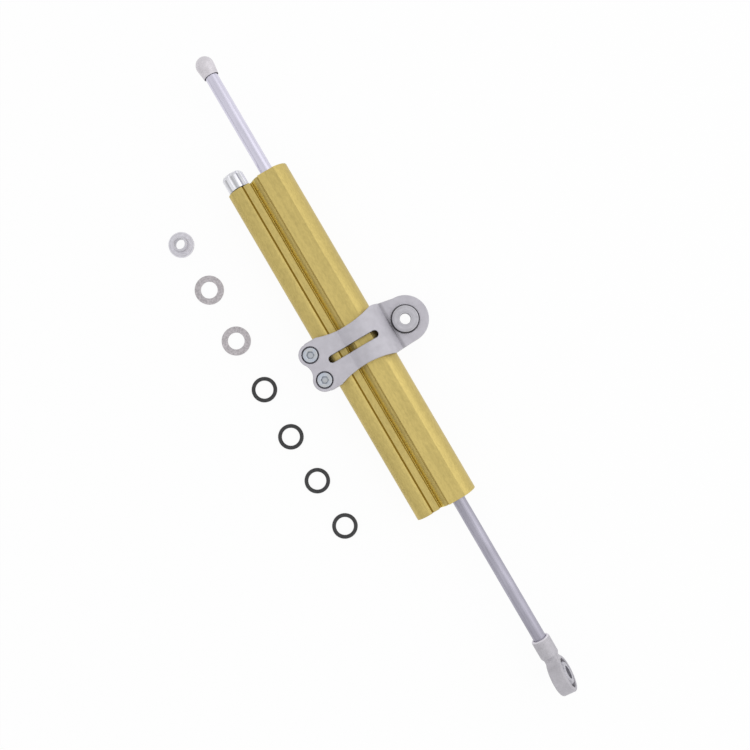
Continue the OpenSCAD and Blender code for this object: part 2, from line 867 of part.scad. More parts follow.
// A short round piece in the valve tube with a groove for its O-ring in the middle
module grooved_plug(outer_r, from_z, to_z) {
    mid = (from_z + to_z) / 2;
    half = small_ring_wire / 2 + ring_side;
    floor_r = outer_r - small_ring_wire - ring_under;
    rotate_extrude() polygon([
        [0, from_z],
        [outer_r, from_z],
        [outer_r, mid - half],
        [floor_r, mid - half],
        [floor_r, mid + half],
        [outer_r, mid + half],
        [outer_r, to_z],
        [0, to_z]
    ]);
}

module reservoir_plug() {
    color(steel) valve_from_front() difference() {
        grooved_plug(valve_bore_r - fit_gap, plug_recess, plug_end);
        translate([0, 0, plug_recess - past]) cylinder(d = plug_hex, h = plug_hex_depth + past, $fn = 6);
    }
}

module plug_o_ring() {
    color(rubber) valve_from_front()
        o_ring(valve_bore_r - fit_gap - ring_out, small_ring_wire, (plug_recess + plug_end) / 2);
}

module reservoir_spring() {
    color(steel) valve_from_front() translate([0, 0, plug_end])
        coil(valve_bore_r - spring_wire / 2 - spring_room, spring_wire, spring_len, spring_turns);
}

module separator() {
    color(steel) valve_from_front()
        grooved_plug(valve_bore_r - run_gap, separator_at, separator_at + separator_len);
}

module separator_o_ring() {
    color(rubber) valve_from_front()
        o_ring(valve_bore_r - run_gap - ring_out, small_ring_wire, separator_at + separator_len / 2);
}

// The clamp's outline from above, drawn up to a height: waisted band, ear with its neck, and lugs
module clamp_plan(height) {
    linear_extrude(height) difference() {
        translate([-clamp_w / 2, -bolt_y]) square([clamp_w, bolt_y + shoulder_y]);
        for (side = [-1, 1]) {
            translate([side * (waist_w / 2 + waist_r), -waist_y]) circle(r = waist_r);
        }
    }
    translate([ear_shift, ear_y, 0]) cylinder(r = ear_r, h = height);
    linear_extrude(height) polygon([
        [ear_shift - ear_r + bite, ear_y],
        [ear_shift + ear_r - bite, ear_y],
        [clamp_w / 2, shoulder_y],
        [clamp_w / 2 - past, shoulder_y - past],
        [past - clamp_w / 2, shoulder_y - past],
        [-clamp_w / 2, shoulder_y]
    ]);
    each_bolt() cylinder(r = lug_r, h = height);
    linear_extrude(height) difference() {
        polygon([
            [-bolt_pitch / 2, past - bolt_y],
            [bolt_pitch / 2, past - bolt_y],
            [bolt_pitch / 2, -bolt_y],
            [0, -notch_mid],
            [-bolt_pitch / 2, -bolt_y]
        ]);
        translate([0, -notch_mid]) circle(r = notch_r + bite);
    }
}

// The clamp's upper half drawn out along the barrel: arch over the cylinder, plate over the valve tube, ear
module clamp_profile(length) {
    difference() {
        union() {
            along_x(length) circle(r = arch_r);
            along_x(length) translate([-lug_end, 0]) square([lug_end, plate_h]);
            along_x(length) square([ear_end, ear_h]);
            along_x(length) round_blend(arch_r, ear_h, ear_fillet);
            along_x(length) mirror([1, 0]) round_blend(arch_r, plate_h, valley_fillet);
        }
        along_x(length + past) translate([-lug_end - past, -2 * arch_r])
            square([lug_end + ear_end + 2 * past, 2 * arch_r]);
        along_x(length + past) translate([-lug_end - past, -past])
            square([lug_end + past, past + lug_gap / 2]);
        along_x(length + past) barrel_outline(clamp_gap, ledge_h);
    }
}

module each_bolt() {
    for (side = [-1, 1]) {
        translate([side * bolt_pitch / 2, -bolt_y, 0]) children();
    }
}

// One half before its own cuts, with the hole and pocket for the bearing
module clamp_half() {
    difference() {
        intersection() {
            clamp_profile(2 * clamp_w);
            clamp_plan(2 * arch_r);
        }
        translate([ear_shift, ear_y, -past]) cylinder(d = ear_open_d, h = ear_t + past);
        translate([ear_shift, ear_y, -past])
            cylinder(r = ear_race_d / 2 + fit_gap, h = ear_race_h / 2 + past + fit_gap);
        each_bolt() cylinder(d = bolt_d + bolt_clear, h = 2 * arch_r);
    }
}

module clamp_upper() {
    slot_start = tube_pitch + slot_back;
    color(satin) clamp_frame() difference() {
        clamp_half();
        each_bolt() translate([0, 0, bolt_seat]) cylinder(d = counterbore_d, h = arch_r);
        translate([-slot_w / 2, slot_w / 2 - slot_start, 0])
            cube([slot_w, slot_start + slot_front - slot_w, 2 * arch_r]);
        for (y = [slot_w / 2 - slot_start, slot_front - slot_w / 2]) {
            translate([0, y, 0]) cylinder(d = slot_w, h = 2 * arch_r);
        }
    }
}

module clamp_lower() {
    color(satin) clamp_frame() mirror([0, 0, 1]) clamp_half();
}

module clamp_bolts() {
    socket_d = hex_af / cos(30);
    color(chrome) clamp_frame() each_bolt() difference() {
        union() {
            translate([0, 0, -bolt_tip]) cylinder(d = bolt_d, h = bolt_tip + bolt_seat);
            translate([0, 0, bolt_seat]) cylinder(d = bolt_head_d, h = bolt_head_h);
        }
        translate([0, 0, bolt_seat + bolt_head_h - hex_depth])
            cylinder(d = socket_d, h = hex_depth + past, $fn = 6);
    }
}

module ear_race() {
    color(bronze) ear_frame() difference() {
        cylinder(d = ear_race_d, h = ear_race_h, center = true);
        sphere(d = ear_ball_d + 2 * run_gap);
    }
}

module ear_ball() {
    color(chrome) ear_frame() bored_ball(ear_ball_d, ear_ball_w, bush_d + 2 * run_gap);
}

module ear_seals() {
    from_z = ear_race_h / 2 + fit_gap;
    color(rubber) ear_frame() for (side = [0, 1]) {
        mirror([0, 0, side])
            ring(ear_ball_d / 2 + run_gap, ear_open_d / 2 - fit_gap, from_z, from_z + seal_h);
    }
}

// A flanged bush about Z, standing on its flange
module flanged_bush() {
    chamfer = 0.4;
    hole_r = bush_hole / 2;
    tube_end = flange_t + shoulder_h + bush_tube;
    rotate_extrude() polygon([
        [hole_r + chamfer / 2, 0],
        [flange_d / 2 - chamfer, 0],
        [flange_d / 2, chamfer],
        [flange_d / 2, flange_t],
        [shoulder_d / 2, flange_t],
        [shoulder_d / 2, flange_t + shoulder_h],
        [bush_d / 2, flange_t + shoulder_h],
        [bush_d / 2, tube_end],
        [hole_r, tube_end],
        [hole_r, chamfer / 2]
    ]);
}

module ear_bush() {
    color(satin) ear_frame() translate([0, 0, flange_seat + flange_t]) mirror([0, 0, 1]) flanged_bush();
}

// A place on the table in the row of loose pieces
module on_table(at) {
    translate([barrel_mid + at.x, at.y - kit_row, floor_z]) children();
}

module spare_bush() {
    color(satin) on_table(spare_bush_at) flanged_bush();
}

module spare_washers() {
    color(steel) for (at = spare_washer_at) {
        on_table(at) ring(washer_hole / 2, washer_d / 2, 0, washer_t);
    }
}

module spare_o_rings() {
    color(rubber) for (at = spare_ring_at) {
        on_table(at) o_ring(ring_id / 2 + ring_wire, ring_wire, ring_wire / 2);
    }
}

barrel();
front_head();
rear_head();
guide_bushes();
rod_seals();
rod_wipers();
head_o_rings();
head_circlips();
piston();
piston_band();
piston_rod();
piston_clips();
end_cap();
rod_end();
rod_end_race();
rod_end_ball();
adjuster_gland();
gland_o_ring();
adjuster_spindle();
adjuster_knob();
knob_screw();
knob_seal();
detent_ball();
detent_spring();
needle();
needle_seat();
reservoir_plug();
plug_o_ring();
reservoir_spring();
separator();
separator_o_ring();
clamp_upper();
clamp_lower();
clamp_bolts();
ear_race();
ear_ball();
ear_seals();
ear_bush();
spare_bush();
spare_washers();
spare_o_rings();
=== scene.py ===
"""Looks of a motorcycle steering damper and its loose fitting kit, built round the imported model."""

import json
import math

import bmesh
import bpy
from bpy.props import FloatProperty, FloatVectorProperty, PointerProperty
from mathutils import Matrix, Vector


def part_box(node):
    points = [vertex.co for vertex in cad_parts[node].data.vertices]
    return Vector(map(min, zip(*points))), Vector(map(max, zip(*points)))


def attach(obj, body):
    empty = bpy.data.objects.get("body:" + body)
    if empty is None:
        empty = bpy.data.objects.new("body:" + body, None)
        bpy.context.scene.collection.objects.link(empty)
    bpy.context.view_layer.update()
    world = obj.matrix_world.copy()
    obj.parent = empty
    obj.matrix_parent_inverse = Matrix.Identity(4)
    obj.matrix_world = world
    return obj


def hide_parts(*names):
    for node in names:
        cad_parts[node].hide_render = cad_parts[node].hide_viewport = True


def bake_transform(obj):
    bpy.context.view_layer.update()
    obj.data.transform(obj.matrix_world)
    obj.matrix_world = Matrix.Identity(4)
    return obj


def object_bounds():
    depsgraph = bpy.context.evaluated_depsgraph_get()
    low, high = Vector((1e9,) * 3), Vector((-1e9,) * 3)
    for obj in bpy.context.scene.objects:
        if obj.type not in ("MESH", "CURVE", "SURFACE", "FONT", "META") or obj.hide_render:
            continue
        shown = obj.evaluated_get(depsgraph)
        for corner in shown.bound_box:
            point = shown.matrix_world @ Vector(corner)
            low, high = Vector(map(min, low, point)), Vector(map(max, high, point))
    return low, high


bl_info = {
    "name": "Steering Damper",
    "version": (1, 0, 0),
    "blender": (4, 5, 0),
    "location": "View3D > Sidebar > Damper",
    "description": "Dresses the pieces of a steering damper and sets its stage",
    "category": "Object",
}

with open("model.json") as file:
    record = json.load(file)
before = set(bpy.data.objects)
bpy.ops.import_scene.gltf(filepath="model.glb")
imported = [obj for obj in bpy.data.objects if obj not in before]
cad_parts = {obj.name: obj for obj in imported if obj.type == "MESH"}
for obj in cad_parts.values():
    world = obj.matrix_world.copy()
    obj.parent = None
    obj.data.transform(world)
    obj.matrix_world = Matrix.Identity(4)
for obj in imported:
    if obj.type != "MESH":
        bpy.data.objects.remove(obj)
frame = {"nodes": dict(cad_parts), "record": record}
CAD_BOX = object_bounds()
BODY_OF = {
    node: body
    for body, members in frame["record"]["behaviour"]["bodies"].items()
    for node in members
}
SLOT_OF = {row["node"]: row["material_slot"] for row in frame["record"]["subparts"]}

MM = 0.001
X_AXIS, Z_AXIS = 0, 2
# Points closer than this are one point, and faces within this angle of each other are one face
MERGE = 0.001 * MM
FLAT = math.radians(0.4)
# Edges sharper than the first are rounded, and shading breaks at edges sharper than the second
SHARP = math.radians(32)
CREASE = math.radians(16)


def middle(node):
    """Middle of a CAD node's box."""
    low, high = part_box(node)
    return (low + high) / 2


# Axes and radii of the two tubes, and the barrel's ends
ROD_AXIS = (0, 0, 0)
TUBE_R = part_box("barrel")[1].y
VALVE_AXIS = (0, middle("needle").y, 0)
VALVE_R = VALVE_AXIS[1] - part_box("barrel")[0].y
REAR_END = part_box("barrel")[0].x
FRONT_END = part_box("barrel")[1].x
# Middles of the fine line, of the step beside the flat and of the valley between the tubes, and how high
# the valley's shade goes
LINE_Y = VALVE_AXIS[1] + 2.4 * MM
STEP_Y = -6.8 * MM
VALLEY_Y = -TUBE_R + 0.4 * MM
VALLEY_TOP = 5.2 * MM
# The clamp: radius of its arch, height of its plate over the sunk screws, place and half width of its
# slot, and the foot and face of its ear
SCREW_SINK = 0.4 * MM
ARCH_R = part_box("clamp_upper")[1].z
PLATE_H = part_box("clamp_bolts")[1].z + SCREW_SINK
SLOT_X = middle("clamp_bolts").x
SLOT_HALF = 2.4 * MM
EAR_FOOT_Y = ARCH_R - 0.1 * MM
EAR_FACE = 4.1 * MM
# Radius of the ball cap's mouth, and of the neck on a flanged bush
MOUTH_R = 4.5 * MM
NECK_R = 5.2 * MM
# How strongly and how often the casting's skin is softened
SOFTEN_FACTOR = 0.5
SOFTEN_ROUNDS = 14
SKY_LEVEL = 0.80
EAR_SIDE_GAIN = 0.11
KIT_SIDE_GAIN = 0.12
HORIZON_LOSS = 0.45
HORIZON_TOP = 0.3
WHITE = (1, 1, 1, 1)
# The table, the key lamp's place from the picture's centre, and the camera's sensor and nearest sight
TABLE_HALF = 6.0
TABLE_WHITE = (0.9, 0.9, 0.9, 1)
LAMP_OFFSET = (0.15, 0.75, 0.8)
SENSOR_MM = 36
NEAR_CLIP = 10 * MM


def colour(name, description, default):
    return FloatVectorProperty(
        name=name, description=description, subtype="COLOR", min=0, max=1, default=default
    )


def length(name, description, default):
    return FloatProperty(
        name=name, description=description, subtype="DISTANCE", unit="LENGTH", min=0, default=default
    )


class DamperEdges(bpy.types.PropertyGroup):
    """Radii to which the pieces' edges are rounded."""

    barrel: length("Barrel", "Rounding of the barrel's edges", 0.15 * MM)
    rod: length("Rod", "Rounding of the rod and the ball cap", 0.1 * MM)
    clamp: length("Clamp", "Rounding of the clamp's edges", 0.5 * MM)
    screws: length("Screws", "Rounding of the clamp screws' heads", 0.35 * MM)
    knob: length("Knob", "Rounding of the knob's lobes", 0.3 * MM)
    bushes: length("Bushes", "Rounding of the flanged bushes", 0.2 * MM)
    washers: length("Washers", "Rounding of the washers", 0.2 * MM)
    casting: length("Casting", "Grain of the rod end's rounded casting", 0.28 * MM)


class DamperColours(bpy.types.PropertyGroup):
    """Colours of the finishes."""

    gold: colour("Gold", "Anodised barrel", (0.60, 0.476, 0.170))
    clamp: colour("Clamp", "Blasted clamp", (0.56, 0.545, 0.59))
    chrome: colour("Chrome", "Piston rod", (0.70, 0.68, 0.795))
    ball: colour("Ball", "Bearing balls", (0.47, 0.46, 0.505))
    casting: colour("Casting", "Rod end", (0.53, 0.515, 0.55))
    cap: colour("Cap", "Ball cap", (0.70, 0.67, 0.71))
    knob: colour("Knob", "Bright anodised knob", (0.82, 0.82, 0.86))
    zinc: colour("Zinc", "Plated clamp screws", (0.53, 0.575, 0.655))
    bush: colour("Bush", "Turned bushes", (0.58, 0.57, 0.61))
    steel: colour("Steel", "Washers and plain steel", (0.52, 0.49, 0.51))
    rubber: colour("Rubber", "Seals and O-rings", (0.025, 0.025, 0.027))
    bronze: colour("Bronze", "Bearing bushes and liners", (0.40, 0.19, 0.055))


class DamperStage(bpy.types.PropertyGroup):
    """Camera and light."""

    distance: length("Distance", "Camera's distance from the rod's level", 0.555)
    frame_width: length("Frame", "Width of the picture at the rod's level", 0.44775)
    turn: FloatProperty(
        name="Turn", description="Turn of the picture about the line of sight", subtype="ANGLE",
        default=math.radians(59.67),
    )
    centre: FloatVectorProperty(
        name="Centre", description="Point in the middle of the picture", subtype="TRANSLATION",
        default=(-0.21104, -0.00561, 0),
    )
    key: FloatProperty(name="Key", description="Power of the key lamp", subtype="POWER", min=0, default=3)
    key_size: length("Key size", "Diameter of the key lamp", 1.6)
    glow: FloatProperty(
        name="Glow", description="Share of the table's white that shadows don't dim", subtype="FACTOR",
        min=0, max=1, default=0.94,
    )


class Flow:
    """A shader value that takes part in Python expressions."""

    def __init__(self, shader, socket):
        self.shader = shader
        self.socket = socket

    def _math(self, operation, first, second):
        return self.shader.add("ShaderNodeMath", {"operation": operation}, {0: first, 1: second})

    def __add__(self, other):
        return self._math("ADD", self, other)

    __radd__ = __add__

    def __sub__(self, other):
        return self._math("SUBTRACT", self, other)

    def __rsub__(self, other):
        return self._math("SUBTRACT", other, self)

    def __mul__(self, other):
        return self._math("MULTIPLY", self, other)

    __rmul__ = __mul__

    def most(self, other):
        return self._math("MAXIMUM", self, other)

    def away(self, value):
        """How far it is from a value, either way."""
        return (self - value).most(value - self)


class Shader:
    """A node tree that is built up from calls."""

    def __init__(self, tree):
        self.tree = tree
        tree.nodes.clear()

    def add(self, kind, settings=None, inputs=None, output=0):
        node = self.tree.nodes.new(kind)
        for key, value in (settings or {}).items():
            setattr(node, key, value)
        for key, value in (inputs or {}).items():
            self.feed(node.inputs[key], value)
        return Flow(self, node.outputs[output]) if node.outputs else None

    def feed(self, socket, value):
        if isinstance(value, Flow):
            self.tree.links.new(value.socket, socket)
        else:
            socket.default_value = value

    def place(self):
        return self.add("ShaderNodeTexCoord", output="Object")

    def stretch(self, vector, scale):
        return self.add("ShaderNodeMapping", inputs={"Vector": vector, "Scale": scale})

    def noise(self, vector, scale=1.0, detail=2.0, roughness=0.5):
        return self.add(
            "ShaderNodeTexNoise",
            inputs={"Vector": vector, "Scale": scale, "Detail": detail, "Roughness": roughness},
            output="Fac",
        )

    def part(self, axis):
        """One coordinate of the place."""
        return self.add("ShaderNodeSeparateXYZ", inputs={"Vector": self.place()}, output=axis)

    def mix(self, factor, first, second):
        return self.add("ShaderNodeMix", {"data_type": "RGBA"}, {0: factor, 6: first, 7: second}, 2)

    def ramp(self, value, low, high):
        """Value from 0 at low to 1 at high."""
        return self.add(
            "ShaderNodeMapRange", {"clamp": True}, {"Value": value, "From Min": low, "From Max": high}
        )

    def bump(self, height, distance, strength):
        return self.add(
            "ShaderNodeBump", inputs={"Height": height, "Distance": distance, "Strength": strength},
            output="Normal",
        )

    def radius_from(self, centre, axis):
        """Distance from a line through centre along a main axis."""
        flat = [0.0 if i == axis else 1.0 for i in range(3)]
        offset = self.add(
            "ShaderNodeVectorMath", {"operation": "SUBTRACT"}, {0: self.place(), 1: tuple(centre)}
        )
        across = self.add("ShaderNodeVectorMath", {"operation": "MULTIPLY"}, {0: offset, 1: flat})
        return self.add("ShaderNodeVectorMath", {"operation": "LENGTH"}, {0: across}, "Value")

    def seen(self):
        """1 on rays from the camera and on those that metal reflects or glass lets through."""
        path = self.tree.nodes.new("ShaderNodeLightPath")
        camera, glossy, through = (
            Flow(self, path.outputs[kind])
            for kind in ("Is Camera Ray", "Is Glossy Ray", "Is Transmission Ray")
        )
        return camera.most(glossy).most(through)

    def surface(self, **inputs):
        named = {key.replace("_", " "): value for key, value in inputs.items()}
        shade = self.add("ShaderNodeBsdfPrincipled", inputs=named)
        self.add("ShaderNodeOutputMaterial", inputs={"Surface": shade})


def new_finish(name):
    material = bpy.data.materials.new(name)
    material.use_nodes = True
    return material, Shader(material.node_tree)


def scaled(base, level):
    """A colour made lighter or darker."""
    return [level * part for part in base]


def tint(base, level):
    """A scaled colour that a shader's socket takes."""
    return (*(min(1.0, part) for part in scaled(base, level)), 1.0)


def gold_anodised(base):
    """Drawn and anodised aluminium with fine lines along the rod, painted light on the flat beside the step
    and on the valley's flank, and painted shade in its grooves.
    """
    material, shader = new_finish("gold_anodised")
    place = shader.place()
    drawn = shader.noise(shader.stretch(place, (24, 5200, 5200)), detail=3.0, roughness=0.6)
    broad = shader.noise(shader.stretch(place, (9, 420, 420)))
    cloud = shader.noise(place, 45.0)
    grain = shader.noise(shader.stretch(place, (420, 1000, 1000)), detail=3.0, roughness=0.6)
    tone = shader.ramp(drawn * 0.2 + broad * 0.2 + cloud * 0.15 + grain * 0.45, 0.38, 0.62)
    # Painted light: a paler band along the flat, beside the step, where the surface is lit more
    across = shader.part("Y")
    paler = shader.ramp(across, -0.12 * TUBE_R, -0.15 * TUBE_R)
    painted_light_band = paler * shader.ramp(across, -0.52 * TUBE_R, -0.50 * TUBE_R)
    skin = shader.mix(tone + 0.3 * painted_light_band, tint(base, 0.88), tint(base, 1.12))
    # Painted light: the flank where the tube turns down to the valley is painted brighter
    tube = shader.radius_from(ROD_AXIS, X_AXIS)
    on_tube = shader.ramp(tube.away(TUBE_R), 0.3 * MM, 0.15 * MM)
    flank_light = on_tube * shader.ramp(across, -0.72 * TUBE_R, -0.82 * TUBE_R)
    flank_light_colour = (base[0], 1.1 * base[1], 1.1 * base[2])
    lit_flank_skin = shader.mix(flank_light, skin, tint(flank_light_colour, 1.65))
    # Painted shade: deeper gold in the line, the step and the valley, where shade falls
    valve = shader.radius_from(VALVE_AXIS, X_AXIS)
    line_depth = shader.ramp(valve, VALVE_R - 1.7 * MM, VALVE_R - 1.55 * MM)
    line = line_depth * shader.ramp(across.away(LINE_Y), 0.6 * MM, 0.5 * MM)
    step_depth = shader.ramp(tube, TUBE_R - 1.0 * MM, TUBE_R - 0.85 * MM)
    step = step_depth * shader.ramp(across.away(STEP_Y), 0.42 * MM, 0.39 * MM)
    valley_depth = shader.ramp(shader.part("Z").away(0.0), VALLEY_TOP + 0.4 * MM, VALLEY_TOP)
    off_tube = shader.ramp(tube, TUBE_R + 0.05 * MM, TUBE_R + 0.2 * MM)
    valley = off_tube * valley_depth * shader.ramp(across.away(VALLEY_Y), 0.6 * MM, 0.45 * MM)
    shade_gold = [part * part for part in base]
    groove_shaded = shader.mix(line.most(0.3 * step), lit_flank_skin, tint(shade_gold, 0.9))
    shader.surface(
        Base_Color=shader.mix(valley, groove_shaded, tint(shade_gold, 0.85)),
        Metallic=1.0,
        Roughness=0.38 + 0.12 * drawn,
        Normal=shader.bump(drawn, 0.02 * MM, strength=0.5),
    )
    return material


def blasted_aluminium(base):
    """Fine blasted and anodised aluminium with a soft mottle, with painted shade in the slot and at the
    ear's foot.
    """
    material, shader = new_finish("blasted_aluminium")
    place = shader.place()
    grain = shader.noise(place, 5200.0, roughness=0.6)
    mottle = shader.noise(place, 260.0, detail=3.0)
    tone = shader.ramp(grain * 0.45 + mottle * 0.55, 0.35, 0.65)
    skin = shader.mix(tone, tint(base, 0.93), tint(base, 1.07))
    # Painted shade: the inner faces seen through the slot go dark, and so does the crease at the ear's foot
    arch = shader.ramp(shader.radius_from(ROD_AXIS, X_AXIS), ARCH_R - 0.4 * MM, TUBE_R + 0.8 * MM)
    plate = shader.ramp(shader.radius_from(VALVE_AXIS, X_AXIS), PLATE_H - 0.4 * MM, VALVE_R + 0.8 * MM)
    slot = shader.ramp(shader.part("X").away(SLOT_X), SLOT_HALF + 0.5 * MM, SLOT_HALF)
    faces = shader.ramp(shader.part("Z").away(0.0), EAR_FACE - 0.4 * MM, EAR_FACE)
    foot = faces * shader.ramp(shader.part("Y").away(EAR_FOOT_Y), 1.5 * MM, 0.2 * MM)
    shader.surface(
        Base_Color=shader.mix((slot * arch.most(plate)).most(0.32 * foot), skin, tint(base, 0.16)),
        Metallic=0.6,
        Roughness=0.55 + 0.14 * grain,
        Normal=shader.bump(grain, 0.03 * MM, strength=0.6),
    )
    return material


def polished_chrome(base):
    """Ground and polished chrome with faint lines along the rod, rougher towards the eye, with painted
    shade darkening it towards the eye.
    """
    material, shader = new_finish("polished_chrome")
    place = shader.place()
    ground = shader.noise(shader.stretch(place, (60, 3600, 3600)))
    haze = shader.noise(shader.stretch(place, (38, 150, 150)), detail=3.0)
    tone = shader.ramp(ground * 0.5 + haze * 0.5, 0.35, 0.65)
    bright = shader.mix(tone, tint(base, 0.93), tint(base, 1.05))
    # Painted shade: the front, towards the eye, is a darker copy of the same chrome; its greater roughness
    # is real
    dull = shader.mix(tone, tint(base, 0.50), tint(base, 0.725))
    front = shader.ramp(shader.part("X"), REAR_END, FRONT_END)
    shader.surface(
        Base_Color=shader.mix(front, bright, dull),
        Metallic=1.0,
        Roughness=0.24 + 0.10 * haze + 0.14 * front,
        Normal=shader.bump(ground, 0.01 * MM, strength=0.4),
    )
    return material


def cast_metal(base):
    """Tumbled casting with a pitted, mottled skin and a painted highlight on its rim."""
    material, shader = new_finish("cast_metal")
    place = shader.place()
    pits = shader.noise(place, 1500.0, detail=3.0, roughness=0.65)
    mottle = shader.noise(place, 420.0, detail=3.0, roughness=0.6)
    tone = shader.ramp(pits * 0.5 + mottle * 0.5, 0.34, 0.66)
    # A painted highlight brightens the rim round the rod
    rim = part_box("rod_end")[0].x
    rim_highlight = shader.ramp(shader.part("X"), rim + 0.9 * MM, rim + 0.4 * MM)
    skin = shader.mix(tone, tint(base, 0.88), tint(base, 1.10))
    shader.surface(
        Base_Color=shader.mix(rim_highlight, skin, tint(base, 1.5)),
        Metallic=0.6,
        Roughness=0.50 + 0.16 * mottle,
        Normal=shader.bump(pits * 0.6 + mottle * 0.4, 0.08 * MM, strength=0.6),
    )
    return material


def satin_cap(base):
    """Tumbled light metal, with painted shade in the mouth that the rod goes into."""
    material, shader = new_finish("satin_cap")
    place = shader.place()
    haze = shader.noise(place, 300.0, detail=3.0)
    grain = shader.noise(place, 3800.0)
    skin = shader.mix(shader.ramp(haze, 0.35, 0.65), tint(base, 0.94), tint(base, 1.06))
    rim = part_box("end_cap")[1].x
    # Painted shade in the mouth round the rod
    inner = shader.ramp(shader.radius_from(ROD_AXIS, X_AXIS), MOUTH_R + 0.16 * MM, MOUTH_R)
    mouth = inner * shader.ramp(shader.part("X"), rim - 1.2 * MM, rim - 0.9 * MM)
    shader.surface(
        Base_Color=shader.mix(mouth, skin, tint(base, 0.12)),
        Metallic=0.5,
        Roughness=0.40 + 0.12 * grain,
        Normal=shader.bump(grain, 0.02 * MM, strength=0.5),
    )
    return material


def bright_aluminium(base):
    """Turned and bright anodised aluminium, with painted shade greying the knob's flutes."""
    material, shader = new_finish("bright_aluminium")
    place = shader.place()
    turned = shader.noise(shader.stretch(place, (5200, 260, 260)))
    haze = shader.noise(place, 300.0)
    skin = shader.mix(shader.ramp(haze, 0.35, 0.65), tint(base, 0.94), tint(base, 1.06))
    low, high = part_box("adjuster_knob")
    # Painted shade in the knob's flutes
    depth = shader.ramp(shader.radius_from(VALVE_AXIS, X_AXIS), high.z - 0.3 * MM, high.z - 0.9 * MM)
    flute = depth * shader.ramp(shader.part("X"), low.x + 1.6 * MM, low.x + 2.4 * MM)
    shader.surface(
        Base_Color=shader.mix(flute, skin, tint(base, 0.66)),
        Metallic=1.0,
        Roughness=0.18 + 0.16 * turned,
        Normal=shader.bump(turned, 0.015 * MM, strength=0.5),
    )
    return material


def zinc_plate(base):
    """Bluish zinc plating with a soft spangle, with painted shade along the foot of the hexagon sockets."""
    material, shader = new_finish("zinc_plate")
    place = shader.place()
    spangle = shader.noise(place, 900.0)
    cloud = shader.noise(place, 320.0)
    warm = tint((base[0] * 1.08, base[1] * 1.02, base[2] * 0.92), 1.0)
    plating = shader.mix(shader.ramp(cloud, 0.35, 0.65), tint(base, 1.0), warm)
    # Distance from the nearer screw's axis
    low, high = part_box("clamp_bolts")
    head_r = (high.y - low.y) / 2
    pair = (high.x - low.x) / 2 - head_r
    along = shader.part("X").away((low.x + high.x) / 2) - pair
    aside = shader.part("Y") - (low.y + high.y) / 2
    offset = shader.add("ShaderNodeCombineXYZ", inputs={"X": along, "Y": aside})
    radius = shader.add("ShaderNodeVectorMath", {"operation": "LENGTH"}, {0: offset}, "Value")
    # Painted shade where the sockets' walls meet their floors
    below = shader.ramp(shader.part("Z"), high.z - 0.25 * MM, high.z - 0.6 * MM)
    socket = below * shader.ramp(radius, 0.62 * head_r, 0.56 * head_r)
    foot = socket * shader.ramp(radius, 0.28 * head_r, 0.44 * head_r)
    shader.surface(
        Base_Color=shader.mix(foot, plating, tint(base, 0.62)),
        Metallic=0.95,
        Roughness=0.26 + 0.16 * spangle,
        Normal=shader.bump(spangle, 0.03 * MM, strength=0.5),
    )
    return material


def turned_rings(name, base, centre, axis, neck_r=0.0):
    """Metal faced on a lathe, with fine rings about an axis, and painted shade within a neck's radius."""
    material, shader = new_finish(name)
    place = shader.place()
    radius = shader.radius_from(centre, axis)
    line = shader.add("ShaderNodeCombineXYZ", inputs={"X": radius})
    rings = shader.noise(line, 1500.0, roughness=0.6)
    haze = shader.noise(place, 380.0, detail=3.0)
    tone = shader.ramp(rings * 0.7 + haze * 0.3, 0.35, 0.65)
    skin = shader.mix(tone, tint(base, 0.78), tint(base, 1.16))
    # Painted shade round the neck and its foot
    neck = shader.ramp(radius, neck_r, neck_r - 0.6 * MM)
    shader.surface(
        Base_Color=shader.mix(neck, skin, tint(base, 0.86)),
        Metallic=0.7,
        Roughness=0.44 + 0.14 * rings,
        Normal=shader.bump(rings, 0.03 * MM, strength=0.6),
    )
    return material


def plain_steel(name, base, roughness):
    """Rolled steel with fine lines and a few dull patches."""
    material, shader = new_finish(name)
    place = shader.place()
    rolled = shader.noise(shader.stretch(place, (1700, 360, 1700)))
    patch = shader.noise(place, 800.0, detail=3.0, roughness=0.6)
    tone = shader.ramp(rolled * 0.3 + patch * 0.7, 0.40, 0.60)
    shader.surface(
        Base_Color=shader.mix(tone, tint(base, 0.82), tint(base, 1.16)),
        Metallic=0.8,
        Roughness=roughness + 0.16 * patch,
        Normal=shader.bump(rolled, 0.02 * MM, strength=0.5),
    )
    return material


def seal_rubber(base):
    """Matt moulded rubber with a faint bloom."""
    material, shader = new_finish("seal_rubber")
    place = shader.place()
    bloom = shader.noise(place, 520.0, detail=3.0, roughness=0.6)
    grain = shader.noise(place, 4200.0)
    shader.surface(
        Base_Color=shader.mix(shader.ramp(bloom, 0.35, 0.7), tint(base, 0.85), tint(base, 1.7)),
        Roughness=0.42 + 0.2 * grain,
        Normal=shader.bump(grain, 0.02 * MM, strength=0.5),
    )
    return material


def dress(node, material):
    """Gives a CAD node its finish."""
    mesh = frame["nodes"][node].data
    mesh.materials.clear()
    mesh.materials.append(material)


def merged_copy(node):
    """A CAD node's shape with its loose triangles joined into whole faces."""
    shape = bmesh.new()
    shape.from_mesh(frame["nodes"][node].data)
    bmesh.ops.remove_doubles(shape, verts=shape.verts, dist=MERGE)
    bmesh.ops.dissolve_limit(shape, angle_limit=FLAT, verts=shape.verts, edges=shape.edges)
    return shape


def stand_for(node, shape, material, suffix="_rounded", rides=True):
    """Makes a piece of a shape in place of a CAD node, riding on the node's body unless it bends."""
    mesh = bpy.data.meshes.new(node + suffix)
    shape.to_mesh(mesh)
    shape.free()
    mesh.shade_smooth()
    mesh.set_sharp_from_angle(angle=CREASE)
    mesh.materials.append(material)
    piece = bpy.data.objects.new(node + suffix, mesh)
    bpy.context.scene.collection.objects.link(piece)
    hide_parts(node)
    if rides:
        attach(piece, BODY_OF[node])
    return piece


